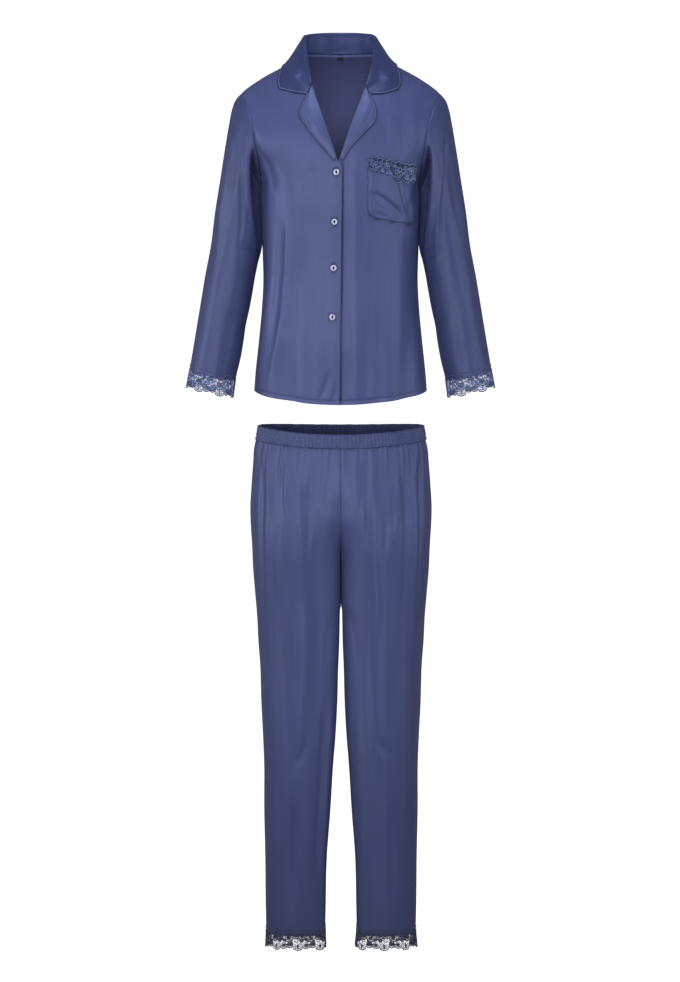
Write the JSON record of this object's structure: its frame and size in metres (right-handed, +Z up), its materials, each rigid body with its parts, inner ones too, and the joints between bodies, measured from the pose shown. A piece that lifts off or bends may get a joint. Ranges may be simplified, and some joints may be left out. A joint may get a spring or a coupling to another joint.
{
  "type": "pyjama set",
  "caption": "Satin pyjama set: button-front top with notched collar, chest pocket and lace cuffs, and elastic-waist trousers with lace hems.",
  "frame": {"origin": "between the base of the neck on both sides, just above the shoulder seams' inner ends, where the wearer's shoulders hold the top", "axes": "+X to the wearer's left, -Y to the front, +Z up"},
  "size_m": [0.5832, 0.2624, 1.7361],
  "materials": {
    "top_satin": "slate blue satin with a soft sheen",
    "trouser_satin": "slate blue satin with a soft sheen",
    "piping": "thin piping of the same satin",
    "lace": "matt floral lace dyed to match",
    "button": "pearly blue",
    "label": "blank black woven tape"
  },
  "bodies": {
    "root": {"front_right": "top_satin", "front_left": "top_satin", "back": "top_satin", "sleeve_right": "top_satin", "sleeve_left": "top_satin", "lapel_right": "top_satin", "lapel_left": "top_satin", "collar": "top_satin", "pocket": "top_satin", "piping_right": "piping", "piping_left": "piping", "pocket_lace": "lace", "cuff_lace_right_front": "lace", "cuff_lace_right_back": "lace", "cuff_lace_left_front": "lace", "cuff_lace_left_back": "lace", "hem_lace_right_front": "lace", "hem_lace_right_back": "lace", "hem_lace_left_front": "lace", "hem_lace_left_back": "lace", "button_1": "button", "button_2": "button", "button_3": "button", "button_4": "button", "size_label": "label", "waistband": "trouser_satin", "trouser_front_right": "trouser_satin", "trouser_front_left": "trouser_satin", "trouser_back_right": "trouser_satin", "trouser_back_left": "trouser_satin"}
  },
  "joints": []
}
